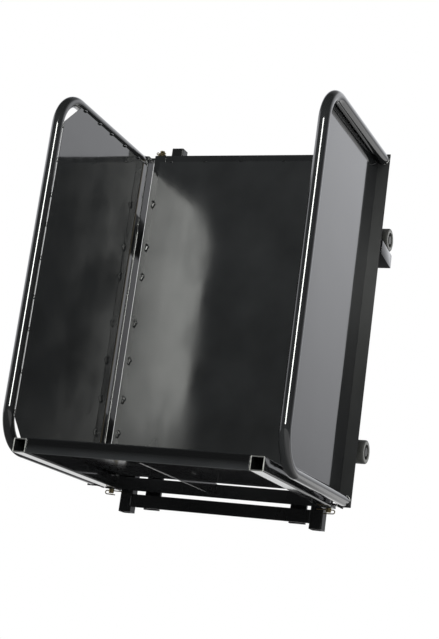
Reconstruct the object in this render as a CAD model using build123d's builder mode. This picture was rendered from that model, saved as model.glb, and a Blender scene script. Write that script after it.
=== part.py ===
from build123d import *
import os

# Roofing bench: load carrier with two swinging side walls, running on four rollers.
# Millimetres. +Z runs up the track, +X to the right of the load, -Y towards the load.
# The origin is the centre of the four roller contacts, on the front plane of the track.

os.makedirs("parts", exist_ok=True)

SIDES = {"left": -1, "right": 1}
LEVELS = {"upper": 1, "lower": -1}
X_AXIS = (1, 0, 0)
Y_AXIS = (0, 1, 0)
Z_AXIS = (0, 0, 1)

# Square tube of the platform sides and the carriage
BAR = 30.0
BAR_WALL = 2.5
BAR_CORNER = 3.0

# Angle of the back frame and the cross members
ANGLE_FLANGE = 3.0
ANGLE_EDGE = 1.0

# Back frame
FRAME_HALF_WIDTH = 277.0
FRAME_FRONT_Y = -175.0
FRAME_BOTTOM_Z = -406.0
FRAME_TOP_Z = 415.0
PIVOT_PLATE = 4.0

# Back sheet and platform
SHEET = 1.5
BACK_SHEET_HALF_WIDTH = 261.0
BACK_SHEET_BOTTOM_Z = -373.0
BACK_SHEET_TOP_Z = 399.0
PLATFORM_FRONT_Y = -619.0
FLOOR = 2.0
FLOOR_HALF_WIDTH = 262.0
FLOOR_REAR_Y = -185.0
RIB_THICKNESS = 4.0
RIB_HEIGHT = 28.0
RIB_EDGE = 1.5
CROSS_ANGLE_TOP_Z = -377.5

# Carriage
LEG_OUTER_X = 249.0
LEG_BOTTOM_Z = -454.0
LEG_TOP_Z = 446.0
BEAM_TOP_Z = -412.0
UPPER_BEAM_BOTTOM_Z = 330.0
STRAP_INNER_X = 161.0
STRAP_WIDTH = 38.0
STRAP_THICKNESS = 8.0
LUG_THICKNESS = 12.0
LUG_REACH = 20.0
LUG_HOLE_R = 8.0

# Rollers and axles
ROLLER_R = 27.5
ROLLER_INNER_X = 257.2
ROLLER_OUTER_X = 297.0
ROLLER_LEVEL_Z = 255.0
ROLLER_RECESS_R = 17.5
ROLLER_RECESS_DEPTH = 8.0
ROLLER_EDGE = 3.5
BUSH_R = 10.0
AXLE_R = 6.0
RUNNING_GAP = 0.05
END_GAP = 0.2
HEX_FLATS = 19.0
HEX_HEAD = 7.5
HEX_NUT = 10.0
BOLT_END_X = 218.0
PLATE_INNER_X = 231.0
PLATE_THICKNESS = 8.0
PLATE_ROOT_HALF = 45.0
PLATE_NOSE_R = 22.0
PLATE_DROP = 64.0
PLATE_TAIL_Y = -7.0
GUARD_THICKNESS = 3.0
GUARD_FRONT_Y = -93.0
GUARD_REAR_Y = -14.0
GUARD_FRONT_DROP = 52.0
GUARD_REAR_DROP = 61.0
GUARD_LIP = 30.5

# Side walls
WALL_TUBE_R = 12.5
WALL_TUBE_WALL = 2.0
WALL_INNER_X = 294.0
WALL_TUBE_X = WALL_INNER_X + WALL_TUBE_R
WALL_FRONT_Y = -608.7
WALL_TOP_Z = 400.0
WALL_BOTTOM_Z = -391.0
WALL_BEND_R = 80.0
POST_INNER_X = 291.0
POST_OUTER_X = 321.0
POST_FRONT_Y = -180.0
POST_REAR_Y = -148.0
POST_FLANGE = 4.0
POST_BEND = 2.5
POST_TOP_Z = 412.7
POST_BOTTOM_Z = -404.5
WALL_SHEET_FRONT_Y = -604.3
WALL_SHEET_CUT_Y = 62.0
WALL_SHEET_CUT_Z = 58.0
WALL_SHEET_CLOSE_INSET = 3.5
WALL_SHEET_WIDE_INSET = 13.0

# Hinge rods and their clips
HINGE_X = 266.0
HINGE_Y = FRAME_FRONT_Y + BAR / 2
HINGE_R = 6.0
HINGE_TOP_Z = 432.5
HINGE_BOTTOM_Z = -416.5
HINGE_EDGE = 1.0
HINGE_NUT = 8.0
SPLIT_PIN_R = 1.6
SPLIT_PIN_Z = 426.5
SPLIT_PIN_INNER_X = -9.0
SPLIT_PIN_OUTER_X = 9.5
SPLIT_PIN_EYE_R = 2.6
SPLIT_PIN_WIRE_R = 1.1
EAR_THICKNESS = 5.0
EAR_HALF_WIDTH = 11.0
EAR_GAP = 0.3
CLIP_Z = -410.5
CLIP_WIRE_R = 1.25
CLIP_HOLE_R = 1.33
CLIP_PITCH = 8.2
CLIP_LOOP_X = 10.5
CLIP_LONG_TIP_X = -28.0
CLIP_SHORT_TIP_X = -10.5
CLIP_FLARE = 1.0

FRAME_REAR_Y = FRAME_FRONT_Y + BAR
BAR_CENTRE_X = FRAME_HALF_WIDTH - BAR / 2
FRAME_INNER_X = FRAME_HALF_WIDTH - BAR
BAR_TOP_Z = FRAME_BOTTOM_Z + BAR
LEG_REAR_Y = FRAME_REAR_Y + BAR
LEG_INNER_X = LEG_OUTER_X - BAR
PLATE_OUTER_X = PLATE_INNER_X + PLATE_THICKNESS
AXLE_Y = -ROLLER_R
ROLLER_FLOOR_X = ROLLER_OUTER_X - ROLLER_RECESS_DEPTH


def hand_in(piece, label):
    piece.part.label = label
    export_step(piece.part, f"parts/{label}.step")


def square_tube(start, run, across, length):
    with BuildPart() as tube:
        with BuildSketch(Plane(origin=start, x_dir=across, z_dir=run)):
            RectangleRounded(BAR, BAR, BAR_CORNER)
            Rectangle(BAR - 2 * BAR_WALL, BAR - 2 * BAR_WALL, mode=Mode.SUBTRACT)
        extrude(amount=length)
    return tube


def plate(low, high):
    size = [high[i] - low[i] for i in range(3)]
    centre = [(high[i] + low[i]) / 2 for i in range(3)]
    with BuildPart() as sheet:
        with Locations(tuple(centre)):
            Box(*size)
    return sheet


def cross_angle(half_length, front_y, top_z):
    with BuildPart() as angle:
        with BuildSketch(Plane(origin=(-half_length, 0, 0), x_dir=Y_AXIS, z_dir=X_AXIS)):
            with BuildLine():
                Polyline(
                    (front_y, top_z),
                    (front_y + BAR, top_z),
                    (front_y + BAR, top_z - ANGLE_FLANGE),
                    (front_y + ANGLE_FLANGE, top_z - ANGLE_FLANGE),
                    (front_y + ANGLE_FLANGE, top_z - BAR),
                    (front_y, top_z - BAR),
                    close=True,
                )
            make_face()
        extrude(amount=2 * half_length)
    return angle


def standing_angle(inner_x, outer_x, front_y, rear_y, flange, bend, low_z, high_z):
    inward = flange if outer_x > inner_x else -flange
    with BuildPart() as angle:
        with BuildSketch(Plane.XY.offset(low_z)) as section:
            with BuildLine():
                Polyline(
                    (outer_x, front_y),
                    (inner_x, front_y),
                    (inner_x, rear_y),
                    (inner_x + inward, rear_y),
                    (inner_x + inward, front_y + flange),
                    (outer_x, front_y + flange),
                    close=True,
                )
            make_face()
            fillet(section.vertices().sort_by_distance((outer_x, front_y, 0))[:2], radius=ANGLE_EDGE)
            fillet(section.vertices().sort_by_distance((inner_x, front_y, 0))[0], radius=bend)
        extrude(amount=high_z - low_z)
    return angle


# Back frame: two upright angles with drilled corner plates, a top and a bottom angle
for side, sign in SIDES.items():
    upright = standing_angle(
        sign * FRAME_INNER_X,
        sign * FRAME_HALF_WIDTH,
        FRAME_FRONT_Y,
        FRAME_REAR_Y,
        ANGLE_FLANGE,
        ANGLE_EDGE,
        FRAME_BOTTOM_Z,
        FRAME_TOP_Z,
    )
    hand_in(upright, f"upright_{side}")

with BuildPart() as pivot_plates:
    for sign in SIDES.values():
        for level in (FRAME_BOTTOM_Z, FRAME_TOP_Z - PIVOT_PLATE):
            with BuildSketch(Plane.XY.offset(level)):
                with Locations((sign * (BAR_CENTRE_X + ANGLE_FLANGE / 2), HINGE_Y + ANGLE_FLANGE / 2)):
                    Rectangle(BAR - ANGLE_FLANGE, BAR - ANGLE_FLANGE)
                with Locations((sign * HINGE_X, HINGE_Y)):
                    Circle(HINGE_R + 2 * RUNNING_GAP, mode=Mode.SUBTRACT)
            extrude(amount=PIVOT_PLATE)
hand_in(pivot_plates, "pivot_plates")

hand_in(cross_angle(FRAME_INNER_X, FRAME_FRONT_Y, FRAME_TOP_Z), "top_crossbar")
hand_in(cross_angle(FRAME_INNER_X, FRAME_FRONT_Y, CROSS_ANGLE_TOP_Z), "bottom_crossbar")

back_sheet = plate(
    (-BACK_SHEET_HALF_WIDTH, FRAME_FRONT_Y - SHEET, BACK_SHEET_BOTTOM_Z),
    (BACK_SHEET_HALF_WIDTH, FRAME_FRONT_Y, BACK_SHEET_TOP_Z),
)
hand_in(back_sheet, "back_sheet")

# Platform: two side bars, a front angle, a rib on edge and the floor sheet on top
for side, sign in SIDES.items():
    side_bar = square_tube(
        (sign * BAR_CENTRE_X, PLATFORM_FRONT_Y, FRAME_BOTTOM_Z + BAR / 2),
        Y_AXIS,
        X_AXIS,
        FRAME_FRONT_Y - PLATFORM_FRONT_Y,
    )
    hand_in(side_bar, f"side_bar_{side}")

hand_in(cross_angle(FRAME_INNER_X, PLATFORM_FRONT_Y, BAR_TOP_Z), "front_bar")

rib_length = FRAME_FRONT_Y - PLATFORM_FRONT_Y - BAR
rib_place = (0, FRAME_FRONT_Y - rib_length / 2, BAR_TOP_Z - RIB_HEIGHT / 2)
with BuildPart() as centre_rib:
    with Locations(rib_place):
        Box(RIB_THICKNESS, rib_length, RIB_HEIGHT)
    lower_edges = centre_rib.edges().filter_by(Axis.Y).sort_by(Axis.Z)[:2]
    fillet(lower_edges, radius=RIB_EDGE)
hand_in(centre_rib, "centre_rib")

floor_sheet = plate(
    (-FLOOR_HALF_WIDTH, PLATFORM_FRONT_Y, BAR_TOP_Z),
    (FLOOR_HALF_WIDTH, FLOOR_REAR_Y, BAR_TOP_Z + FLOOR),
)
hand_in(floor_sheet, "floor_sheet")

# Carriage: two legs, a bottom angle, an upper tube, two straps and the rope lug
for side, sign in SIDES.items():
    leg = square_tube(
        (sign * (LEG_OUTER_X - BAR / 2), FRAME_REAR_Y + BAR / 2, LEG_BOTTOM_Z),
        Z_AXIS,
        X_AXIS,
        LEG_TOP_Z - LEG_BOTTOM_Z,
    )
    hand_in(leg, f"leg_{side}")
    strap_x = sorted((sign * STRAP_INNER_X, sign * (STRAP_INNER_X + STRAP_WIDTH)))
    strap = plate(
        (strap_x[0], LEG_REAR_Y, BEAM_TOP_Z - BAR),
        (strap_x[1], LEG_REAR_Y + STRAP_THICKNESS, UPPER_BEAM_BOTTOM_Z + BAR),
    )
    hand_in(strap, f"strap_{side}")

hand_in(cross_angle(LEG_INNER_X, FRAME_REAR_Y, BEAM_TOP_Z), "bottom_beam")
upper_beam = square_tube(
    (-LEG_INNER_X, FRAME_REAR_Y + BAR / 2, UPPER_BEAM_BOTTOM_Z + BAR / 2),
    X_AXIS,
    Y_AXIS,
    2 * LEG_INNER_X,
)
hand_in(upper_beam, "upper_beam")

lug_hole_z = UPPER_BEAM_BOTTOM_Z + BAR / 2
with BuildPart() as rope_lug:
    with BuildSketch(Plane.YZ.offset(-LUG_THICKNESS / 2)):
        with Locations((LEG_REAR_Y + LUG_REACH / 2, lug_hole_z)):
            Rectangle(LUG_REACH, BAR)
        with Locations((LEG_REAR_Y + LUG_REACH, lug_hole_z)):
            Circle(BAR / 2)
            Circle(LUG_HOLE_R, mode=Mode.SUBTRACT)
    extrude(amount=LUG_THICKNESS)
hand_in(rope_lug, "rope_lug")

# Roller plates stand on the rear of the legs, the upper ones carry a folded guard
for side, sign in SIDES.items():
    for level, up in LEVELS.items():
        axle_z = up * ROLLER_LEVEL_Z
        foot_z = axle_z - (PLATE_DROP if level == "upper" else PLATE_ROOT_HALF)
        tail_z = foot_z if level == "upper" else axle_z - PLATE_NOSE_R
        tail_y = PLATE_TAIL_Y if level == "upper" else AXLE_Y
        with BuildPart() as roller_plate:
            with BuildSketch(Plane.YZ.offset(sign * PLATE_INNER_X)):
                with BuildLine():
                    Polyline(
                        (LEG_REAR_Y, foot_z),
                        (LEG_REAR_Y, axle_z + PLATE_ROOT_HALF),
                        (AXLE_Y, axle_z + PLATE_NOSE_R),
                        (tail_y, axle_z),
                        (tail_y, tail_z),
                        close=True,
                    )
                make_face()
                with Locations((AXLE_Y, axle_z)):
                    Circle(PLATE_NOSE_R)
                    Circle(AXLE_R + 2 * RUNNING_GAP, mode=Mode.SUBTRACT)
            extrude(amount=sign * PLATE_THICKNESS)
        hand_in(roller_plate, f"roller_plate_{level}_{side}")

    guard_front_z = ROLLER_LEVEL_Z - GUARD_FRONT_DROP
    guard_rear_z = ROLLER_LEVEL_Z - GUARD_REAR_DROP
    guard_walls = (
        (PLATE_OUTER_X, GUARD_THICKNESS),
        (ROLLER_OUTER_X - GUARD_THICKNESS, GUARD_LIP),
    )
    with BuildPart() as roller_guard:
        for start_x, height in guard_walls:
            with BuildSketch(Plane.YZ.offset(sign * start_x)):
                with BuildLine():
                    Polyline(
                        (GUARD_FRONT_Y, guard_front_z),
                        (GUARD_REAR_Y, guard_rear_z),
                        (GUARD_REAR_Y, guard_rear_z + height),
                        (GUARD_FRONT_Y, guard_front_z + height),
                        close=True,
                    )
                make_face()
            extrude(amount=sign * (ROLLER_OUTER_X - start_x))
    hand_in(roller_guard, f"roller_guard_{side}")


def axle_plane(sign, up, reach):
    origin = (sign * reach, AXLE_Y, up * ROLLER_LEVEL_Z)
    return Plane(origin=origin, x_dir=Y_AXIS, z_dir=(sign, 0, 0))


# Rollers with pressed-in bushes, one of each per corner
for side, sign in SIDES.items():
    for level, up in LEVELS.items():
        with BuildPart() as roller:
            with BuildSketch(axle_plane(sign, up, ROLLER_INNER_X)):
                Circle(ROLLER_R)
            extrude(amount=ROLLER_OUTER_X - ROLLER_INNER_X)
            rims = roller.edges().filter_by(GeomType.CIRCLE)
            fillet(rims, radius=ROLLER_EDGE)
            with BuildSketch(axle_plane(sign, up, ROLLER_FLOOR_X)):
                Circle(ROLLER_RECESS_R)
            extrude(amount=ROLLER_RECESS_DEPTH, mode=Mode.SUBTRACT)
            with BuildSketch(axle_plane(sign, up, ROLLER_INNER_X)):
                Circle(BUSH_R)
            extrude(amount=ROLLER_OUTER_X - ROLLER_INNER_X, mode=Mode.SUBTRACT)
        hand_in(roller, f"roller_{level}_{side}")

        with BuildPart() as bush:
            with BuildSketch(axle_plane(sign, up, ROLLER_INNER_X)):
                Circle(BUSH_R)
                Circle(AXLE_R + RUNNING_GAP, mode=Mode.SUBTRACT)
            extrude(amount=ROLLER_FLOOR_X - ROLLER_INNER_X - END_GAP)
        hand_in(bush, f"roller_bush_{level}_{side}")

# Axle bolts, nuts and spacers, four alike of each
with BuildPart() as axle_bolts:
    for sign in SIDES.values():
        for up in LEVELS.values():
            with BuildSketch(axle_plane(sign, up, BOLT_END_X)):
                Circle(AXLE_R)
            extrude(amount=ROLLER_FLOOR_X - BOLT_END_X)
            with BuildSketch(axle_plane(sign, up, ROLLER_FLOOR_X)):
                RegularPolygon(HEX_FLATS / 2, 6, major_radius=False)
            extrude(amount=HEX_HEAD)
hand_in(axle_bolts, "axle_bolts")

with BuildPart() as axle_nuts:
    for sign in SIDES.values():
        for up in LEVELS.values():
            with BuildSketch(axle_plane(sign, up, PLATE_INNER_X - HEX_NUT)):
                RegularPolygon(HEX_FLATS / 2, 6, major_radius=False)
                Circle(AXLE_R + RUNNING_GAP, mode=Mode.SUBTRACT)
            extrude(amount=HEX_NUT)
hand_in(axle_nuts, "axle_nuts")

with BuildPart() as axle_spacers:
    for sign in SIDES.values():
        for up in LEVELS.values():
            with BuildSketch(axle_plane(sign, up, PLATE_OUTER_X)):
                Circle(BUSH_R)
                Circle(AXLE_R + RUNNING_GAP, mode=Mode.SUBTRACT)
            extrude(amount=ROLLER_INNER_X - END_GAP - PLATE_OUTER_X)
hand_in(axle_spacers, "axle_spacers")

# Side walls: a bent tube, a rear angle, a sheet on the inner side and two hinge ears.
# Both walls are the same piece, the left one turned over.
for side, sign in SIDES.items():
    with BuildPart() as wall_tube:
        with BuildLine(Plane.YZ.offset(sign * WALL_TUBE_X)) as wall_path:
            FilletPolyline(
                (POST_FRONT_Y, WALL_TOP_Z),
                (WALL_FRONT_Y, WALL_TOP_Z),
                (WALL_FRONT_Y, WALL_BOTTOM_Z),
                (POST_FRONT_Y, WALL_BOTTOM_Z),
                radius=WALL_BEND_R,
            )
        start = (sign * WALL_TUBE_X, POST_FRONT_Y, WALL_TOP_Z)
        with BuildSketch(Plane(origin=start, x_dir=X_AXIS, z_dir=(0, -1, 0))):
            Circle(WALL_TUBE_R)
            Circle(WALL_TUBE_R - WALL_TUBE_WALL, mode=Mode.SUBTRACT)
        sweep()
    hand_in(wall_tube, f"wall_tube_{side}")

    wall_post = standing_angle(
        sign * POST_INNER_X,
        sign * POST_OUTER_X,
        POST_FRONT_Y,
        POST_REAR_Y,
        POST_FLANGE,
        POST_BEND,
        POST_BOTTOM_Z,
        POST_TOP_Z,
    )
    hand_in(wall_post, f"wall_post_{side}")

    insets = (WALL_SHEET_WIDE_INSET, WALL_SHEET_CLOSE_INSET)[::sign]
    sheet_low_z = WALL_BOTTOM_Z + insets[0]
    sheet_high_z = WALL_TOP_Z - insets[1]
    with BuildPart() as wall_sheet:
        with BuildSketch(Plane.YZ.offset(sign * WALL_INNER_X)):
            with BuildLine():
                Polyline(
                    (POST_FRONT_Y, sheet_low_z),
                    (WALL_SHEET_FRONT_Y + WALL_SHEET_CUT_Y, sheet_low_z),
                    (WALL_SHEET_FRONT_Y, sheet_low_z + WALL_SHEET_CUT_Z),
                    (WALL_SHEET_FRONT_Y, sheet_high_z - WALL_SHEET_CUT_Z),
                    (WALL_SHEET_FRONT_Y + WALL_SHEET_CUT_Y, sheet_high_z),
                    (POST_FRONT_Y, sheet_high_z),
                    close=True,
                )
            make_face()
        extrude(amount=-sign * SHEET)
    hand_in(wall_sheet, f"wall_sheet_{side}")

    ear_levels = {
        "top": FRAME_TOP_Z - PIVOT_PLATE - EAR_GAP - EAR_THICKNESS,
        "bottom": FRAME_BOTTOM_Z + PIVOT_PLATE + EAR_GAP,
    }
    for level, low_z in ear_levels.items():
        ear_reach = POST_INNER_X - HINGE_X
        with BuildPart() as hinge_ear:
            with BuildSketch(Plane.XY.offset(low_z)):
                with Locations((sign * (HINGE_X + ear_reach / 2), HINGE_Y)):
                    Rectangle(ear_reach, 2 * EAR_HALF_WIDTH)
                with Locations((sign * HINGE_X, HINGE_Y)):
                    Circle(EAR_HALF_WIDTH)
                    Circle(HINGE_R + RUNNING_GAP, mode=Mode.SUBTRACT)
            extrude(amount=EAR_THICKNESS)
        hand_in(hinge_ear, f"hinge_ear_{level}_{side}")

# Hinge rods with a cross hole near each end, and the hairpin clips at their feet,
# whose long leg passes through the hole and whose short leg hangs under the foot
for side, sign in SIDES.items():
    with BuildPart() as hinge_rod:
        with BuildSketch(Plane(origin=(sign * HINGE_X, HINGE_Y, HINGE_BOTTOM_Z))):
            Circle(HINGE_R)
        extrude(amount=HINGE_TOP_Z - HINGE_BOTTOM_Z)
        chamfer(hinge_rod.edges().filter_by(GeomType.CIRCLE), length=HINGE_EDGE)
        for hole_z, hole_r in ((CLIP_Z, CLIP_HOLE_R), (SPLIT_PIN_Z, SPLIT_PIN_R + RUNNING_GAP)):
            with BuildSketch(Plane(origin=(sign * HINGE_X, HINGE_Y, hole_z), x_dir=Y_AXIS, z_dir=X_AXIS)):
                Circle(hole_r)
            extrude(amount=2 * HINGE_R, both=True, mode=Mode.SUBTRACT)
    hand_in(hinge_rod, f"hinge_rod_{side}")

    clip_frame = Plane(origin=(sign * HINGE_X, HINGE_Y, CLIP_Z), x_dir=(sign, 0, 0), z_dir=(0, -sign, 0))
    with BuildPart() as hinge_clip:
        with BuildLine(clip_frame) as clip_path:
            long_leg = Line((CLIP_LONG_TIP_X, 0), (CLIP_LOOP_X, 0))
            loop = TangentArc(long_leg @ 1, (CLIP_LOOP_X, -CLIP_PITCH), tangent=long_leg % 1)
            Line(loop @ 1, (CLIP_SHORT_TIP_X, -CLIP_PITCH - CLIP_FLARE))
        with BuildSketch(Plane(origin=clip_path.line @ 0, z_dir=clip_path.line % 0)):
            Circle(CLIP_WIRE_R)
        sweep()
    hand_in(hinge_clip, f"hinge_clip_{side}")

# Nuts on the tops of the hinge rods and the split pins above them, two alike of each
with BuildPart() as hinge_nuts:
    for sign in SIDES.values():
        with BuildSketch(Plane(origin=(sign * HINGE_X, HINGE_Y, FRAME_TOP_Z))):
            RegularPolygon(HEX_FLATS / 2, 6, major_radius=False)
            Circle(HINGE_R + RUNNING_GAP, mode=Mode.SUBTRACT)
        extrude(amount=HINGE_NUT)
hand_in(hinge_nuts, "hinge_nuts")

with BuildPart() as split_pins:
    for sign in SIDES.values():
        eye_x = HINGE_X + SPLIT_PIN_OUTER_X + SPLIT_PIN_EYE_R
        start = (sign * (HINGE_X + SPLIT_PIN_INNER_X), HINGE_Y, SPLIT_PIN_Z)
        with BuildSketch(Plane(origin=start, x_dir=Y_AXIS, z_dir=(sign, 0, 0))):
            Circle(SPLIT_PIN_R)
        extrude(amount=SPLIT_PIN_OUTER_X - SPLIT_PIN_INNER_X)
        with Locations(Location((sign * eye_x, HINGE_Y, SPLIT_PIN_Z), (90, 0, 0))):
            Torus(SPLIT_PIN_EYE_R, SPLIT_PIN_WIRE_R)
hand_in(split_pins, "split_pins")
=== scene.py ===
import math
import random

import bmesh
import bpy
from mathutils import Matrix, Vector


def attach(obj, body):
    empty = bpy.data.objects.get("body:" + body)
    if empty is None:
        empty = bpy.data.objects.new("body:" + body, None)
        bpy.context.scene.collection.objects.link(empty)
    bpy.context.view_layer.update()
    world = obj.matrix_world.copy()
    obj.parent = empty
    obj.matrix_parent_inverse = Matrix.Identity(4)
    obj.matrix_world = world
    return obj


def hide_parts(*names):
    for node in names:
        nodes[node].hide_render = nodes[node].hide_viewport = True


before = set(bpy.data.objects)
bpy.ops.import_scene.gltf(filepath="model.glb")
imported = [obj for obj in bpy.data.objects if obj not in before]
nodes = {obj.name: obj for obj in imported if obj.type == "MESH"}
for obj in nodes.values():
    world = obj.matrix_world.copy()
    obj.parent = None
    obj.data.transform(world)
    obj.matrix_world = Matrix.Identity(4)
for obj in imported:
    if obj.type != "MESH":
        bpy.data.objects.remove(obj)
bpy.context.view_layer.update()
chance = random.Random(11)

ORIGIN = (0.0, 0.0, 0.0)
SIDES = {"left": -1, "right": 1}

# Sizes of the bench, in metres, as the solids have them
FRAME_HALF = 0.277
FRAME_INNER = 0.247
FRAME_FRONT = -0.175
FRAME_REAR = -0.145
FRAME_BOTTOM = -0.406
FRAME_TOP = 0.415
PLATFORM_FRONT = -0.619
SIDE_BAR_X = 0.262
FLOOR_UNDER = -0.376
RIB_HALF = 0.002
LEG_IN = 0.219
LEG_OUT = 0.249
LEG_REAR = -0.115
BEAM_TOP = -0.412
UPPER_BEAM_TOP = 0.360
STRAP_EDGES = (0.161, 0.199)
LUG_HALF = 0.006
POST_FRONT = -0.180
POST_IN = 0.291
WALL_TUBE_X = 0.3065
WALL_TUBE_R = 0.0125
WALL_TOP = 0.400
WALL_LOW = -0.391
WALL_SHEET_ENDS = {"left": (0.387, -0.3875), "right": (0.3965, -0.378)}
AXLE_Y = -0.0275
AXLE_Z = 0.255
AXLE_R = 0.006
AXLE_GAP = 0.00005
BOLT_END = 0.218
BOLT_SEAT = 0.289
HEX_FLATS = 0.019
HEX_HEAD = 0.0075
HEX_NUT = 0.010
PLATE_IN = 0.231
PLATE_OUT = 0.239
HINGE_X = 0.266
HINGE_Y = -0.160
HINGE_NUT = 0.008
GUARD_OUT = 0.297
GUARD_FRONT = (-0.093, 0.203)
GUARD_REAR = (-0.014, 0.194)
GUARD_LIP = 0.0305
GUARD_THICKNESS = 0.003
GUARD_FOLD = 0.0045
GUARD_EDGE = 0.0004


# Selecting and finishing, shared by all pieces

def clear_selection():
    if bpy.context.object and bpy.context.object.mode != "OBJECT":
        bpy.ops.object.mode_set(mode="OBJECT")
    bpy.ops.object.select_all(action="DESELECT")


def pick(piece):
    clear_selection()
    piece.select_set(True)
    bpy.context.view_layer.objects.active = piece


def settle(piece):
    pick(piece)
    bpy.ops.object.transform_apply(location=True, rotation=True, scale=True)
    return piece


def join_as(name, pieces):
    clear_selection()
    for piece in pieces:
        piece.select_set(True)
    bpy.context.view_layer.objects.active = pieces[0]
    bpy.ops.object.join()
    joined = bpy.context.object
    joined.name = name
    joined.data.name = name
    return settle(joined)


def copy_of(piece, place, turn):
    pick(piece)
    bpy.ops.object.duplicate()
    twin = bpy.context.object
    twin.location = place
    twin.rotation_euler = turn
    return settle(twin)


def drop(piece):
    pick(piece)
    bpy.ops.object.delete()


def pick_corners(piece, wanted):
    shape = bmesh.from_edit_mesh(piece.data)
    for corner in shape.verts:
        corner.select = wanted(corner.co)
    shape.select_flush_mode()
    bmesh.update_edit_mesh(piece.data)


def squeeze(across, deep):
    bpy.ops.transform.resize(value=(across, deep, 1.0), center_override=ORIGIN)


def dress(piece, finish, body):
    piece.data.materials.clear()
    piece.data.materials.append(finish)
    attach(piece, body)
    return piece


# Shader building

def shader(name):
    finish = bpy.data.materials.new(name)
    finish.use_nodes = True
    tree = finish.node_tree
    tree.nodes.clear()
    out = tree.nodes.new("ShaderNodeOutputMaterial")
    body = tree.nodes.new("ShaderNodeBsdfPrincipled")
    tree.links.new(body.outputs["BSDF"], out.inputs["Surface"])
    place = tree.nodes.new("ShaderNodeTexCoord")
    return finish, tree, body, place.outputs["Object"]


def feed(tree, socket, value):
    if isinstance(value, tuple):
        socket.default_value = (*value, 1.0)
    elif isinstance(value, float):
        socket.default_value = value
    else:
        tree.links.new(value, socket)


def noise(tree, place, scale, detail=2.0, rough=0.5, stretch=None):
    if stretch:
        turned = tree.nodes.new("ShaderNodeMapping")
        turned.inputs["Scale"].default_value = stretch
        tree.links.new(place, turned.inputs["Vector"])
        place = turned.outputs["Vector"]
    grain = tree.nodes.new("ShaderNodeTexNoise")
    grain.inputs["Scale"].default_value = scale
    grain.inputs["Detail"].default_value = detail
    grain.inputs["Roughness"].default_value = rough
    tree.links.new(place, grain.inputs["Vector"])
    return grain.outputs["Fac"]


def spread(tree, value, low_in, high_in, low_out, high_out):
    ranged = tree.nodes.new("ShaderNodeMapRange")
    ranged.inputs["From Min"].default_value = low_in
    ranged.inputs["From Max"].default_value = high_in
    ranged.inputs["To Min"].default_value = low_out
    ranged.inputs["To Max"].default_value = high_out
    tree.links.new(value, ranged.inputs["Value"])
    return ranged.outputs["Result"]


def worked_out(tree, kind, *values):
    step = tree.nodes.new("ShaderNodeMath")
    step.operation = kind
    for socket, value in zip(step.inputs, values):
        feed(tree, socket, value)
    return step.outputs["Value"]


def axes_of(tree, place):
    split = tree.nodes.new("ShaderNodeSeparateXYZ")
    tree.links.new(place, split.inputs["Vector"])
    return split.outputs["X"], split.outputs["Y"], split.outputs["Z"]


def ramp(tree, value, stops):
    colours = tree.nodes.new("ShaderNodeValToRGB")
    band = colours.color_ramp
    while len(band.elements) < len(stops):
        band.elements.new(0.5)
    for element, (at, colour) in zip(band.elements, stops):
        element.position = at
        element.color = (*colour, 1.0)
    tree.links.new(value, colours.inputs["Fac"])
    return colours.outputs["Color"]


def blended(tree, share, under, over):
    mixed = tree.nodes.new("ShaderNodeMix")
    mixed.data_type = "RGBA"
    tree.links.new(share, mixed.inputs["Factor"])
    feed(tree, mixed.inputs[6], under)
    feed(tree, mixed.inputs[7], over)
    return mixed.outputs[2]


def chosen(tree, share, otherwise, value):
    mixed = tree.nodes.new("ShaderNodeMix")
    mixed.data_type = "FLOAT"
    tree.links.new(share, mixed.inputs["Factor"])
    feed(tree, mixed.inputs[2], otherwise)
    feed(tree, mixed.inputs[3], value)
    return mixed.outputs[0]


def bump(tree, height, depth, under=None):
    relief = tree.nodes.new("ShaderNodeBump")
    relief.inputs["Strength"].default_value = 1.0
    relief.inputs["Distance"].default_value = depth
    tree.links.new(height, relief.inputs["Height"])
    if under:
        tree.links.new(under, relief.inputs["Normal"])
    return relief.outputs["Normal"]


# Wear, painted shade and painted highlights on single pieces: each takes and gives back the paint's colour and
# roughness

def scuffed_sheet(tree, place, colour, gloss):
    height = axes_of(tree, place)[2]
    low_down = spread(tree, height, -0.36, -0.15, 0.15, 0.0)
    high_up = spread(tree, height, 0.12, 0.34, 0.0, 0.05)
    clouds = noise(tree, place, 11.0, 2.0, 0.5, (1.0, 1.0, 0.7))
    rubbed = spread(tree, clouds, 0.42, 0.68, 0.0, 0.06)
    for patch in (low_down, high_up, rubbed):
        gloss = worked_out(tree, "ADD", gloss, patch)
    return colour, gloss


def dull_outside(tree, place, colour, gloss):
    across, _, height = axes_of(tree, place)
    outwards = worked_out(tree, "ABSOLUTE", across)
    outside = spread(tree, outwards, 0.2925, 0.2945, 0.0, 1.0)
    upper_end = spread(tree, height, 0.16, 0.37, 0.46, 0.76)
    lower_end = spread(tree, height, 0.07, -0.22, 0.46, 0.80)
    dull = worked_out(tree, "MULTIPLY", outside, worked_out(tree, "MAXIMUM", upper_end, lower_end))
    return colour, worked_out(tree, "ADD", gloss, dull)


def painted_shade_and_dull_toe(tree, place, colour, gloss):
    height = axes_of(tree, place)[2]
    # Painted shade: the front bar is near black at the top and grows lighter towards its bottom edge; its toe
    # is also made rough
    painted_shade_fade = spread(tree, height, -0.388, -0.404, 0.0, 1.0)
    toe = spread(tree, height, -0.4056, -0.4046, 0.8, 0.0)
    painted_shade_black = (0.0046, 0.0048, 0.0050)
    return blended(tree, painted_shade_fade, painted_shade_black, colour), worked_out(tree, "ADD", gloss, toe)


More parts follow.
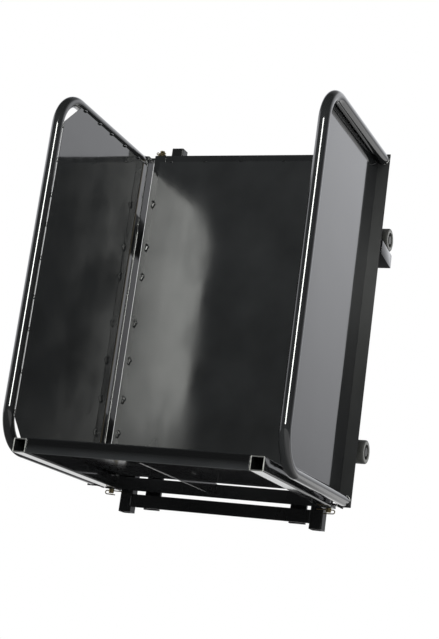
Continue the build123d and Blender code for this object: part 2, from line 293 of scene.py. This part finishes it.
def bare_and_highlit_ends(tree, place, colour, gloss):
    across, deep, _ = axes_of(tree, place)
    at_end = spread(tree, deep, PLATFORM_FRONT + 0.0002, PLATFORM_FRONT, 0.0, 1.0)
    from_bar = worked_out(tree, "SUBTRACT", worked_out(tree, "ABSOLUTE", across), SIDE_BAR_X)
    highlit_sides = spread(tree, worked_out(tree, "ABSOLUTE", from_bar), 0.0122, 0.0128, 0.25, 1.0)
    rubbed = spread(tree, noise(tree, place, 260.0, 2.0), 0.35, 0.6, 0.5, 1.0)
    share = worked_out(tree, "MULTIPLY", worked_out(tree, "MULTIPLY", at_end, highlit_sides), rubbed)
    # Bare steel grey on the side bars' cut front ends, strongest on the side walls: partly bare cut metal,
    # partly a painted highlight of the rims catching the lamp
    bare_steel_highlight = (0.42, 0.42, 0.40)
    return blended(tree, share, colour, bare_steel_highlight), gloss


# Finishes

PAINT_INDEX = 1.5
COAT_ROUGHNESS = 0.04
THIN_COAT = (0.78, 0.82, 0.86)
FULL_COAT = (1.16, 1.22, 1.28)
DUST = (0.04, 0.04, 0.038)
ZINC_GRAIN = 0.00002
THREAD_TURNS = 3590.0
THREAD_START = 0.408
THREAD_DEPTH = 0.0004


def gloss_black_paint(name, tone, waviness, peel, shine, coat=0.0, worn=None, index=PAINT_INDEX):
    finish, tree, body, place = shader(name)
    cloudy = noise(tree, place, 9.0, 3.0)
    thin_coat = tuple(tone * share for share in THIN_COAT)
    full_coat = tuple(tone * share for share in FULL_COAT)
    colour = ramp(tree, cloudy, [(0.3, thin_coat), (0.7, full_coat)])
    specks = spread(tree, noise(tree, place, 900.0, 1.0), 0.70, 0.78, 0.0, 0.35)
    colour = blended(tree, specks, colour, DUST)
    smear = noise(tree, place, 22.0, 4.0, 0.6, (1.0, 1.0, 0.25))
    gloss = spread(tree, smear, 0.3, 0.75, shine - 0.03, shine + 0.06)
    # worn may also paint shade on the front bar and highlights on the side bars' ends
    if worn:
        colour, gloss = worn(tree, place, colour, gloss)
    tree.links.new(colour, body.inputs["Base Color"])
    tree.links.new(gloss, body.inputs["Roughness"])
    body.inputs["IOR"].default_value = index
    body.inputs["Coat Weight"].default_value = coat
    body.inputs["Coat Roughness"].default_value = COAT_ROUGHNESS
    body.inputs["Coat IOR"].default_value = PAINT_INDEX
    waves = bump(tree, noise(tree, place, 5.0, 1.0), waviness)
    skin = bump(tree, noise(tree, place, 170.0, 1.0), peel, waves)
    tree.links.new(skin, body.inputs["Normal"])
    tree.links.new(skin, body.inputs["Coat Normal"])
    return finish


def yellow_zinc_plate(name):
    finish, tree, body, place = shader(name)
    tint = noise(tree, place, 120.0, 3.0)
    stops = [(0.3, (0.34, 0.29, 0.16)), (0.5, (0.46, 0.38, 0.19)), (0.7, (0.40, 0.31, 0.20))]
    tree.links.new(ramp(tree, tint, stops), body.inputs["Base Color"])
    body.inputs["Metallic"].default_value = 1.0
    worn = noise(tree, place, 300.0, 2.0)
    tree.links.new(spread(tree, worn, 0.3, 0.7, 0.24, 0.38), body.inputs["Roughness"])
    along = axes_of(tree, place)[2]
    threads = worked_out(tree, "SINE", worked_out(tree, "MULTIPLY", along, THREAD_TURNS))
    threaded = spread(tree, along, THREAD_START, THREAD_START + 0.002, 0.0, 1.0)
    thread_cut = bump(tree, worked_out(tree, "MULTIPLY", threads, threaded), THREAD_DEPTH)
    grain = bump(tree, noise(tree, place, 900.0), ZINC_GRAIN, thread_cut)
    tree.links.new(grain, body.inputs["Normal"])
    return finish


def dull_zinc_plate(name, tone):
    finish, tree, body, place = shader(name)
    tint = noise(tree, place, 160.0, 3.0)
    dark = tuple(part * 0.7 for part in tone)
    tree.links.new(ramp(tree, tint, [(0.3, dark), (0.7, tone)]), body.inputs["Base Color"])
    body.inputs["Metallic"].default_value = 1.0
    worn = noise(tree, place, 400.0, 2.0)
    tree.links.new(spread(tree, worn, 0.3, 0.7, 0.34, 0.52), body.inputs["Roughness"])
    tree.links.new(bump(tree, noise(tree, place, 1200.0), ZINC_GRAIN), body.inputs["Normal"])
    return finish


def cast_nylon(name):
    finish, tree, body, place = shader(name)
    _, deep, along = axes_of(tree, place)
    off_y = worked_out(tree, "ADD", deep, -AXLE_Y)
    off_z = worked_out(tree, "SUBTRACT", worked_out(tree, "ABSOLUTE", along), AXLE_Z)
    squares = [worked_out(tree, "MULTIPLY", off, off) for off in (off_y, off_z)]
    radius = worked_out(tree, "SQRT", worked_out(tree, "ADD", *squares))
    cloudy = noise(tree, place, 60.0, 4.0)
    tread = ramp(tree, cloudy, [(0.3, (0.065, 0.066, 0.060)), (0.7, (0.105, 0.106, 0.098))])
    # The end faces are light grey in a ring between the recess and the outer edge, and tread colour outside it
    light_end_ring = ramp(tree, cloudy, [(0.3, (0.36, 0.36, 0.33)), (0.7, (0.46, 0.46, 0.43))])
    # Painted shade: the recess in each roller's end face is coloured near black
    painted_recess_shade = (0.022, 0.022, 0.020)
    recess_shade_share = spread(tree, radius, 0.0178, 0.0174, 0.0, 1.0)
    on_rim = spread(tree, radius, 0.0250, 0.0236, 0.0, 1.0)
    colour = blended(tree, on_rim, tread, light_end_ring)
    tree.links.new(blended(tree, recess_shade_share, colour, painted_recess_shade), body.inputs["Base Color"])
    rubbed = noise(tree, place, 180.0, 3.0, 0.5, (0.2, 1.0, 1.0))
    tree.links.new(spread(tree, rubbed, 0.3, 0.7, 0.36, 0.52), body.inputs["Roughness"])
    turned = noise(tree, place, 700.0, 1.0, 0.5, (1.0, 0.05, 0.05))
    tree.links.new(bump(tree, turned, 0.00006), body.inputs["Normal"])
    return finish


# The wall and back sheets carry the frame's black paint at a lighter tone, lifting them where they lie in
# shade: painted light
wall_paint = gloss_black_paint(
    "gloss black paint on wall sheets", tone=0.024, waviness=0.0008, peel=0.000005, shine=0.07, coat=1.0,
)
back_paint = gloss_black_paint(
    "gloss black paint on back sheet", tone=0.020, waviness=0.0010, peel=0.000005, shine=0.10,
    worn=scuffed_sheet, index=1.47,
)
floor_paint = gloss_black_paint(
    "gloss black paint on floor sheet", tone=0.012, waviness=0.0006, peel=0.000004, shine=0.12,
)
frame_paint = gloss_black_paint(
    "gloss black paint on frame angles", tone=0.014, waviness=0.0002, peel=0.000004, shine=0.10,
)
post_paint = gloss_black_paint(
    "gloss black paint on wall posts", tone=0.012, waviness=0.0002, peel=0.000004, shine=0.10,
    worn=dull_outside,
)
bar_paint = gloss_black_paint(
    "gloss black paint on side bars", tone=0.014, waviness=0.0001, peel=0.000003, shine=0.09, coat=1.0,
    worn=bare_and_highlit_ends,
)
# The front bar's lighter tone is the bright end of its painted shade
front_paint = gloss_black_paint(
    "gloss black paint on front bar", tone=0.025, waviness=0.0002, peel=0.000004, shine=0.10,
    worn=painted_shade_and_dull_toe,
)
# Painted shade: a darker, rougher copy of the tube paint for the guards' downward faces
guard_shade_paint = gloss_black_paint(
    "dull black paint with painted shade under roller guards", tone=0.010, waviness=0.0002, peel=0.00002, shine=0.86,
)
carriage_paint = gloss_black_paint(
    "satin black paint on carriage", tone=0.010, waviness=0.0002, peel=0.000006, shine=0.24,
)
tube_paint = gloss_black_paint(
    "gloss black paint on tubes", tone=0.014, waviness=0.0001, peel=0.000003, shine=0.09, coat=1.0,
)
weld_paint = gloss_black_paint(
    "gloss black paint on welds", tone=0.010, waviness=0.0002, peel=0.00006, shine=0.16, coat=1.0,
)
rod_zinc = yellow_zinc_plate("yellow zinc on hinge rods")
bolt_zinc = dull_zinc_plate("dull zinc on bolts", (0.24, 0.24, 0.23))
turned_steel = dull_zinc_plate("turned steel", (0.42, 0.41, 0.40))
roller_nylon = cast_nylon("cast nylon on rollers")

# What the name of a node begins with, and its finish: the first that fits is used
FINISHES = (
    (("back_sheet",), back_paint),
    (("wall_sheet",), wall_paint),
    (("floor_sheet",), floor_paint),
    (("wall_post",), post_paint),
    (("front_bar",), front_paint),
    (("side_bar",), bar_paint),
    (("upright", "top_crossbar", "bottom_crossbar", "pivot_plates"), frame_paint),
    (("leg_", "strap_", "bottom_beam", "upper_beam", "rope_lug", "roller_plate"), carriage_paint),
    (("hinge_rod", "hinge_clip", "hinge_nuts", "split_pins"), rod_zinc),
    (("axle_bolts", "axle_nuts"), bolt_zinc),
    (("roller_bush", "axle_spacers"), turned_steel),
    (("wall_tube", "hinge_ear", "centre_rib", "roller_guard"), tube_paint),
    (("roller_",), roller_nylon),
)

for node, solid in nodes.items():
    solid.data.materials.clear()
    solid.data.materials.append(next(finish for starts, finish in FINISHES if node.startswith(starts)))


# Weld beads: a rippled rod modelled once for each length and laid along every seam

BEAD_AROUND = 10
BEAD_RINGS = (5, 90)
BEAD_WAIST = 0.84
BEAD_END = 0.5
BEAD_UNEVEN = 0.1
RING_RIPPLES = 28
RING_BEAD = 0.0021
RING_SEED = 7
FLAT_SEAM = (-0.385, 0.232)
FLAT_SEAM_X = 0.2906
FLAT_SEAM_R = 0.0015
FLAT_SEAM_LEAN = 0.35


def ringed_rod(radius, length, around, cuts):
    clear_selection()
    bpy.ops.mesh.primitive_cylinder_add(
        vertices=around, radius=radius, depth=length, location=(0.0, 0.0, length / 2),
    )
    rod = settle(bpy.context.object)
    bpy.ops.object.mode_set(mode="EDIT")
    bpy.ops.mesh.select_mode(type="EDGE")
    shape = bmesh.from_edit_mesh(rod.data)
    for edge in shape.edges:
        edge.select = abs(edge.verts[0].co.z - edge.verts[1].co.z) > length / 2
    bmesh.update_edit_mesh(rod.data)
    bpy.ops.mesh.subdivide(number_cuts=cuts)
    bpy.ops.mesh.select_mode(type="VERT")
    return rod, length / (cuts + 1)


def pick_ends(rod, length, step):
    pick_corners(rod, lambda place: place.z < step / 2 or place.z > length - step / 2)


def smooth_over():
    bpy.ops.object.mode_set(mode="OBJECT")
    bpy.ops.object.shade_smooth()


def bead(length, size):
    fewest, most = BEAD_RINGS
    rod, step = ringed_rod(size, length, BEAD_AROUND, min(most, max(fewest, round(length / (size * 0.55)))))
    pick_corners(rod, lambda place: round(place.z / step) % 2 == 1)
    squeeze(BEAD_WAIST, BEAD_WAIST)
    pick_ends(rod, length, step)
    squeeze(BEAD_END, BEAD_END)
    bpy.ops.mesh.select_all(action="SELECT")
    bpy.ops.transform.vertex_random(offset=size * BEAD_UNEVEN, seed=chance.randrange(1, 900))
    smooth_over()
    return rod


def ring_bead(radius, size):
    clear_selection()
    bpy.ops.mesh.primitive_torus_add(
        major_radius=radius, minor_radius=size, major_segments=2 * RING_RIPPLES, minor_segments=8,
    )
    ring = bpy.context.object
    bpy.ops.object.mode_set(mode="EDIT")
    pick_corners(ring, lambda place: round(math.atan2(place.y, place.x) * RING_RIPPLES / math.pi) % 2 == 1)
    bpy.ops.transform.shrink_fatten(value=-size * 0.2)
    bpy.ops.mesh.select_all(action="SELECT")
    bpy.ops.transform.vertex_random(offset=size * BEAD_UNEVEN, seed=RING_SEED)
    smooth_over()
    return ring


def flat_seam(sign):
    low, high = FLAT_SEAM
    rod, step = ringed_rod(FLAT_SEAM_R, high - low, 16, 40)
    bpy.ops.mesh.select_all(action="SELECT")
    squeeze(1.0, 0.5)
    pick_ends(rod, high - low, step)
    squeeze(0.4, 0.4)
    smooth_over()
    place = (sign * FLAT_SEAM_X, POST_FRONT - 0.0004, low)
    laid = copy_of(rod, place, (0.0, 0.0, -sign * FLAT_SEAM_LEAN))
    drop(rod)
    return laid


def weld_up(name, seams, body, rings=(), laid=()):
    patterns = {}
    laid = list(laid)
    for start, end, size in seams:
        run = Vector(end) - Vector(start)
        kind = (round(run.length, 4), size)
        if kind not in patterns:
            patterns[kind] = bead(*kind)
        laid.append(copy_of(patterns[kind], start, run.to_track_quat("Z", "Y").to_euler()))
    if rings:
        patterns["ring"] = ring_bead(WALL_TUBE_R, RING_BEAD)
        laid += [copy_of(patterns["ring"], place, (math.pi / 2, 0.0, 0.0)) for place in rings]
    for pattern in patterns.values():
        drop(pattern)
    return dress(join_as(name, laid), weld_paint, body)


def standing(x, y, low, high, size):
    return (x, y, low), (x, y, high), size


def lying(start_x, end_x, y, z, size):
    return (start_x, y, z), (end_x, y, z), size


def reaching(x, start_y, end_y, z, size):
    return (x, start_y, z), (x, end_y, z), size


# Thickness of the beads, and where the seams start and end
THICK = 0.0024
THIN = 0.0018
FINE = 0.0016
LONG_TACK = 0.026
CROSSBAR_SEAM = (-0.4055, -0.3785)
PIVOT_ACROSS = (0.252, 0.276)
PIVOT_ACROSS_Y = -0.172
PIVOT_ALONG = (-0.170, -0.146)
PIVOT_ALONG_X = 0.250
BAR_ROOT = FRAME_FRONT - 0.0005
BAR_SEAM = (-0.4045, -0.3775)
BAR_UNDER = (0.249, 0.2755)
FRONT_BAR_END = 0.2462
RIB_SEAM = (-0.4025, -0.3785)
RIB_TACKS = (-0.585, -0.500, -0.415, -0.330, -0.245)
RIB_TACK_X = 0.0022
LEG_TACKS = (-0.39, -0.2, 0.0, 0.2, 0.375)
LEG_TACK_X = LEG_OUT + 0.001
BEAM_SEAM = (-0.4405, -0.4135)
UPPER_BEAM_SEAM = (0.3315, 0.3585)
STRAP_SEAM = (0.1625, 0.1975)
PLATE_SEAMS = ((-0.2975, -0.2125), (0.1940, 0.2975))
GUARD_SEAM = ((-0.090, 0.2057), (-0.017, 0.1974))

frame_seams = []
platform_seams = []
carriage_seams = []
for sign in SIDES.values():
    frame_seams.append(standing(sign * FRAME_INNER, FRAME_FRONT, *CROSSBAR_SEAM, THIN))
    pivot_across = [sign * x for x in PIVOT_ACROSS]
    for level in (FRAME_TOP, FRAME_BOTTOM):
        frame_seams.append(lying(*pivot_across, PIVOT_ACROSS_Y, level, THIN))
        frame_seams.append(reaching(sign * PIVOT_ALONG_X, *PIVOT_ALONG, level, THIN))

    bar_under = [sign * x for x in BAR_UNDER]
    platform_seams.append(standing(sign * FRAME_HALF, BAR_ROOT, *BAR_SEAM, THICK))
    platform_seams.append(lying(*bar_under, BAR_ROOT, FRAME_BOTTOM, THICK))
    platform_seams.append(standing(sign * FRONT_BAR_END, PLATFORM_FRONT, *BAR_SEAM, FINE))

    for level in LEG_TACKS:
        carriage_seams.append(standing(sign * LEG_TACK_X, FRAME_REAR, level, level + LONG_TACK, THIN))
    carriage_seams.append(standing(sign * LEG_IN, FRAME_REAR, *BEAM_SEAM, THICK))
    for depth in (FRAME_REAR, LEG_REAR):
        carriage_seams.append(standing(sign * LEG_IN, depth, *UPPER_BEAM_SEAM, THICK))
    strap_across = [sign * x for x in STRAP_SEAM]
    for level in (UPPER_BEAM_TOP, BEAM_TOP):
        carriage_seams.append(lying(*strap_across, LEG_REAR, level, THICK))
    for edge in STRAP_EDGES:
        carriage_seams.append(standing(sign * edge, LEG_REAR, *UPPER_BEAM_SEAM, THICK))
    for face in (PLATE_IN, PLATE_OUT):
        for seam in PLATE_SEAMS:
            carriage_seams.append(standing(sign * face, LEG_REAR, *seam, THICK))
    carriage_seams.append((*((sign * PLATE_OUT, *end) for end in GUARD_SEAM), THIN))
    carriage_seams.append(standing(sign * LUG_HALF, LEG_REAR, *UPPER_BEAM_SEAM, THICK))
for step, start_y in enumerate(RIB_TACKS):
    tack_x = RIB_TACK_X if step % 2 else -RIB_TACK_X
    platform_seams.append(reaching(tack_x, start_y, start_y + LONG_TACK, FLOOR_UNDER, THIN))
for rib_face in (-RIB_HALF, RIB_HALF):
    platform_seams.append(standing(rib_face, FRAME_FRONT, *RIB_SEAM, THIN))

weld_up("frame_welds", frame_seams, "frame")
weld_up("platform_welds", platform_seams, "frame")
weld_up("carriage_welds", carriage_seams, "frame")

# Tacks along the edges of the sheets: their places along each edge, and their thickness
HALF_TACK = 0.005
POST_HALF_TACK = 0.0045
FRONT_TACKS = (0.319, 0.240, 0.1595, 0.092, 0.0166, -0.0705, -0.1414, -0.233, -0.319)
FRONT_TACK_X = 0.2945
FRONT_TACK_Y = -0.6045
FRONT_TACK = 0.0023
REAR_TACKS = (0.311, 0.235, 0.148, 0.057, -0.034, -0.122, -0.202, -0.299)
REAR_TACK_X = 0.2925
REAR_TACK_Y = POST_FRONT - 0.0006
REAR_TACK = 0.0022
EDGE_TACKS = (-0.522, -0.448, -0.385, -0.312, -0.236)
EDGE_TACK_X = 0.2908
EDGE_TACK = 0.0025
EAR_SEAM = (-0.1695, -0.1515)
EAR_SEAM_LEVELS = (0.4057, -0.3967)
BACK_TACKS = (0.287, 0.177, 0.103, -0.013, -0.105, -0.199, -0.281)
BACK_TACK_X = 0.2622
BACK_TACK_Y = -0.1768
BACK_HALF_TACK = 0.008
BACK_TACK = 0.0042
BACK_TAIL = ((0.2580, -0.1775), (0.2650, BACK_TACK_Y))
BACK_TAIL_RISE = 0.011
BACK_TAIL_TACK = 0.0034
FLOOR_TACKS = (-0.570, -0.470, -0.370, -0.270)
FLOOR_TACK_X = 0.2622
FLOOR_TACK_Z = FLOOR_UNDER + 0.0004
FLOOR_TACK = 0.0022
TOP_TACKS = (-0.232, -0.142, -0.049, 0.061, 0.152, 0.236)
TOP_TACK_Y = -0.1757
TOP_TACK_Z = 0.3993
TOP_TACK = 0.0024


def upright_tack(x, y, z, half, size):
    return standing(x, y, z - half, z + half, size)


def deep_tack(x, y, z, half, size):
    return reaching(x, y - half, y + half, z, size)


for side, sign in SIDES.items():
    seams = [upright_tack(sign * FRONT_TACK_X, FRONT_TACK_Y, z, HALF_TACK, FRONT_TACK) for z in FRONT_TACKS]
    seams += [upright_tack(sign * REAR_TACK_X, REAR_TACK_Y, z, POST_HALF_TACK, REAR_TACK) for z in REAR_TACKS]
    for level in WALL_SHEET_ENDS[side]:
        seams += [deep_tack(sign * EDGE_TACK_X, y, level, HALF_TACK, EDGE_TACK) for y in EDGE_TACKS]
    for level in EAR_SEAM_LEVELS:
        seams.append(reaching(sign * POST_IN, *EAR_SEAM, level, THIN))
    rings = [(sign * WALL_TUBE_X, POST_FRONT, level) for level in (WALL_TOP, WALL_LOW)]
    weld_up(f"wall_welds_{side}", seams, f"{side}_wall", rings, [flat_seam(sign)])

sheet_seams = []
for sign in SIDES.values():
    for z in BACK_TACKS:
        tilt = chance.uniform(0.001, 0.003)
        foot = (sign * BACK_TACK_X - tilt, BACK_TACK_Y, z - BACK_HALF_TACK)
        head = (sign * BACK_TACK_X + tilt, BACK_TACK_Y, z + BACK_HALF_TACK)
        sheet_seams.append((foot, head, BACK_TACK))
        (tail_x, tail_y), (tip_x, tip_y) = BACK_TAIL
        tail = (sign * tail_x, tail_y, z)
        tip = (sign * tip_x, tip_y, z + BACK_TAIL_RISE)
        sheet_seams.append((tail, tip, BACK_TAIL_TACK))
    sheet_seams += [deep_tack(sign * FLOOR_TACK_X, y, FLOOR_TACK_Z, HALF_TACK, FLOOR_TACK) for y in FLOOR_TACKS]
sheet_seams += [lying(x - HALF_TACK, x + HALF_TACK, TOP_TACK_Y, TOP_TACK_Z, TOP_TACK) for x in TOP_TACKS]
weld_up("sheet_tacks", sheet_seams, "frame")


# Hexagon bolts and nuts

CHAMFER_R = HEX_FLATS * 0.48
CHAMFER_SLOPE = 1.73
THREADED = 0.024
THREAD_CORE = 0.87
CREASE = math.radians(25.0)


def trim(block, cutter, kind):
    pick(block)
    cut = block.modifiers.new("cut", "BOOLEAN")
    cut.operation = kind
    cut.solver = "EXACT"
    cut.object = cutter
    bpy.ops.object.modifier_apply(modifier=cut.name)
    drop(cutter)


def hexagon(height, chamfered_ends):
    clear_selection()
    corner = HEX_FLATS / math.sqrt(3.0)
    middle = (0.0, 0.0, height / 2)
    bpy.ops.mesh.primitive_cylinder_add(vertices=6, radius=corner, depth=height, location=middle)
    block = settle(bpy.context.object)
    for end in chamfered_ends:
        clear_selection()
        bpy.ops.mesh.primitive_cone_add(
            vertices=72, radius1=CHAMFER_R + CHAMFER_SLOPE * height, radius2=CHAMFER_R, depth=height,
            location=middle, rotation=(0.0 if end == "top" else math.pi, 0.0, 0.0),
        )
        trim(block, settle(bpy.context.object), "INTERSECT")
    return block


def nut(height):
    block = hexagon(height, ("top", "bottom"))
    clear_selection()
    bpy.ops.mesh.primitive_cylinder_add(vertices=40, radius=AXLE_R + AXLE_GAP, depth=height * 3)
    trim(block, settle(bpy.context.object), "DIFFERENCE")
    pick(block)
    bpy.ops.object.shade_smooth_by_angle(angle=CREASE)
    return block


def axle_bolt():
    length = BOLT_SEAT - BOLT_END
    shank, step = ringed_rod(AXLE_R, length, 32, 80)
    pick_corners(shank, lambda place: place.z < THREADED and round(place.z / step) % 2 == 0)
    squeeze(THREAD_CORE, THREAD_CORE)
    bpy.ops.object.mode_set(mode="OBJECT")
    pattern = hexagon(HEX_HEAD, ("top",))
    head = copy_of(pattern, (0.0, 0.0, length), ORIGIN)
    drop(pattern)
    bolt = join_as("axle_bolt_pattern", [shank, head])
    bpy.ops.object.shade_smooth_by_angle(angle=CREASE)
    return bolt


def set_of(name, pattern, places, finish, node):
    pieces = [copy_of(pattern, place, turn) for place, turn in places]
    drop(pattern)
    group = dress(join_as(name, pieces), finish, "frame")
    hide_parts(node)


bolt_places = []
nut_places = []
rod_tops = []
for sign in SIDES.values():
    outwards = (0.0, sign * math.pi / 2, 0.0)
    for level in (AXLE_Z, -AXLE_Z):
        bolt_places.append(((sign * BOLT_END, AXLE_Y, level), outwards))
        nut_places.append(((sign * (PLATE_IN - HEX_NUT), AXLE_Y, level), outwards))
    rod_tops.append(((sign * HINGE_X, HINGE_Y, FRAME_TOP), (0.0, 0.0, 0.3 * sign)))
set_of("hex_axle_bolts", axle_bolt(), bolt_places, bolt_zinc, "axle_bolts")
set_of("hex_axle_nuts", nut(HEX_NUT), nut_places, bolt_zinc, "axle_nuts")
set_of("hinge_hex_nuts", nut(HINGE_NUT), rod_tops, rod_zinc, "hinge_nuts")


# Roller guards, folded from one strip

def at_fold(place):
    return abs(place.x) > GUARD_OUT - 0.0001


def folded_guard(side, sign):
    clear_selection()
    bpy.ops.mesh.primitive_plane_add(size=1.0)
    guard = bpy.context.object
    bpy.ops.object.mode_set(mode="EDIT")
    shape = bmesh.from_edit_mesh(guard.data)
    for corner in shape.verts:
        reach = GUARD_OUT if corner.co.x > 0 else PLATE_OUT
        end, level = GUARD_FRONT if corner.co.y < 0 else GUARD_REAR
        corner.co = (sign * reach, end, level)
    bmesh.update_edit_mesh(guard.data)
    if sign > 0:
        bpy.ops.mesh.flip_normals()
    bpy.ops.mesh.select_mode(type="EDGE")
    pick_corners(guard, at_fold)
    bpy.ops.mesh.extrude_region_move(TRANSFORM_OT_translate={"value": (0.0, 0.0, GUARD_LIP)})
    pick_corners(guard, lambda place: at_fold(place) and place.z < GUARD_FRONT[1] + 0.001)
    bpy.ops.mesh.bevel(offset=GUARD_FOLD, segments=5)
    bpy.ops.object.mode_set(mode="OBJECT")
    wall = guard.modifiers.new("wall", "SOLIDIFY")
    wall.thickness = GUARD_THICKNESS
    wall.offset = -1.0
    wall.use_even_offset = True
    bpy.ops.object.modifier_apply(modifier=wall.name)
    edges = guard.modifiers.new("edges", "BEVEL")
    edges.width = GUARD_EDGE
    edges.segments = 2
    edges.limit_method = "ANGLE"
    edges.angle_limit = math.radians(50.0)
    bpy.ops.object.modifier_apply(modifier=edges.name)
    bpy.ops.object.shade_smooth_by_angle(angle=math.radians(35.0))
    guard.name = f"folded_guard_{side}"
    guard.data.name = guard.name
    dress(settle(guard), tube_paint, "frame")
    guard.data.materials.append(guard_shade_paint)
    # Downward faces of each guard take the darker copy of the paint: painted shade
    for face in guard.data.polygons:
        face.material_index = 1 if face.normal.z < -0.6 else 0
    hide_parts(f"roller_guard_{side}")


for side, sign in SIDES.items():
    folded_guard(side, sign)


# Camera at the photograph's angle

CAMERA_PLACE = (1.28443, -3.27734, -0.80001)
CAMERA_LOOK = (-0.38329, 0.89398, 0.23213)
CAMERA_UP = (-0.03526, -0.26530, 0.96352)
CAMERA_LENS = 83.94
CAMERA_SENSOR = 36.0
CAMERA_SHIFT = (-0.0011, 0.0011)
CAMERA_REACH = 120.0


def photo_camera():
    look = Vector(CAMERA_LOOK).normalized()
    side_way = look.cross(Vector(CAMERA_UP)).normalized()
    up_way = side_way.cross(look)
    turn = Matrix((side_way, up_way, -look)).transposed().to_euler()
    clear_selection()
    bpy.ops.object.camera_add(location=CAMERA_PLACE, rotation=turn)
    camera = bpy.context.object
    camera.data.lens = CAMERA_LENS
    camera.data.sensor_width = CAMERA_SENSOR
    camera.data.shift_x, camera.data.shift_y = CAMERA_SHIFT
    camera.data.clip_end = CAMERA_REACH
    bpy.context.scene.camera = camera


# Pale floor, lamp and a white room that is darker in front of the bench

FLOOR_SPAN = 110.0
FLOOR_LEVEL = -0.92
FLOOR_PALE = (0.9, 0.9, 0.9)
FLOOR_GREY = (0.86, 0.86, 0.86)
FLOOR_GLOW = 0.6
LAMP_PLACE = (0.8475, -3.37, 0.84)
LAMP_TARGET = (0.0, -0.3, 0.1)
LAMP_WIDTH = 0.795
LAMP_HEIGHT = 1.58
LAMP_WATTS = 86.2
LAMP_COLOUR = (0.985, 1.0, 0.955)
ROOM_LIGHT = 0.4
ROOM_TINT = (0.90, 0.91, 0.945)
WHITE = (1.0, 1.0, 1.0)


def pale_floor():
    clear_selection()
    bpy.ops.mesh.primitive_plane_add(size=FLOOR_SPAN, location=(0.0, 0.0, FLOOR_LEVEL))
    floor = bpy.context.object
    floor.name = "studio_floor"
    finish, tree, body, place = shader("pale floor")
    tone = ramp(tree, noise(tree, place, 1.5, 2.0), [(0.3, FLOOR_GREY), (0.7, FLOOR_PALE)])
    tree.links.new(tone, body.inputs["Base Color"])
    body.inputs["Roughness"].default_value = 0.9
    across, deep, _ = axes_of(tree, place)
    # Reflections of the floor glow dimly near the bench and brighter beside and behind it: a painted shadow of
    # the bench in what the floor reflects
    beside = spread(tree, across, 0.3, 1.0, 0.0, 0.5)
    behind = spread(tree, deep, 0.6, 1.6, 0.08, 0.85)
    mirrored = tree.nodes.new("ShaderNodeEmission")
    tree.links.new(worked_out(tree, "MAXIMUM", beside, behind), mirrored.inputs["Strength"])
    pale = tree.nodes.new("ShaderNodeEmission")
    feed(tree, pale.inputs["Color"], FLOOR_PALE)
    ray = tree.nodes.new("ShaderNodeLightPath")
    lit = worked_out(tree, "MULTIPLY", ray.outputs["Is Camera Ray"], FLOOR_GLOW)
    shown = body.outputs["BSDF"]
    for share, glow in ((lit, pale), (ray.outputs["Is Glossy Ray"], mirrored)):
        either = tree.nodes.new("ShaderNodeMixShader")
        tree.links.new(share, either.inputs["Fac"])
        tree.links.new(shown, either.inputs[1])
        tree.links.new(glow.outputs["Emission"], either.inputs[2])
        shown = either.outputs["Shader"]
    tree.links.new(shown, tree.nodes["Material Output"].inputs["Surface"])
    floor.data.materials.append(finish)
    settle(floor)


def strip_softbox():
    clear_selection()
    bpy.ops.object.light_add(type="AREA", location=LAMP_PLACE)
    lamp = bpy.context.object
    lamp.name = "strip softbox"
    lamp.data.shape = "RECTANGLE"
    lamp.data.size = LAMP_WIDTH
    lamp.data.size_y = LAMP_HEIGHT
    lamp.data.energy = LAMP_WATTS
    lamp.data.color = LAMP_COLOUR
    aim = Vector(LAMP_TARGET) - Vector(LAMP_PLACE)
    lamp.rotation_euler = aim.to_track_quat("-Z", "Y").to_euler()


def white_room():
    room = bpy.data.worlds.new("white room")
    room.use_nodes = True
    bpy.context.scene.world = room
    tree = room.node_tree
    tree.nodes.clear()
    out = tree.nodes.new("ShaderNodeOutputWorld")
    glow = tree.nodes.new("ShaderNodeBackground")
    tree.links.new(glow.outputs["Background"], out.inputs["Surface"])
    way = tree.nodes.new("ShaderNodeTexCoord")
    across, deep, along = axes_of(tree, way.outputs["Generated"])
    rear_wall = spread(tree, deep, 0.25, 0.70, 0.10, 1.0)
    left_wall = spread(tree, across, -0.80, -0.92, 0.0, 1.7)
    foot_to_top = spread(tree, along, 0.12, 0.36, 0.45, 1.0)
    below_ceiling = spread(tree, along, 0.60, 0.75, 1.0, 0.3)
    mirrored = worked_out(tree, "MAXIMUM", rear_wall, left_wall)
    for band in (foot_to_top, below_ceiling):
        mirrored = worked_out(tree, "MULTIPLY", mirrored, band)
    ray = tree.nodes.new("ShaderNodeLightPath")
    seen = ray.outputs["Is Camera Ray"]
    shine = chosen(tree, ray.outputs["Is Glossy Ray"], ROOM_LIGHT, mirrored)
    shine = chosen(tree, ray.outputs["Is Transmission Ray"], shine, 1.0)
    shine = chosen(tree, seen, shine, 1.0)
    tree.links.new(shine, glow.inputs["Strength"])
    tree.links.new(blended(tree, seen, ROOM_TINT, WHITE), glow.inputs["Color"])


photo_camera()
pale_floor()
strip_softbox()
white_room()

bpy.context.scene.view_settings.view_transform = "Standard"
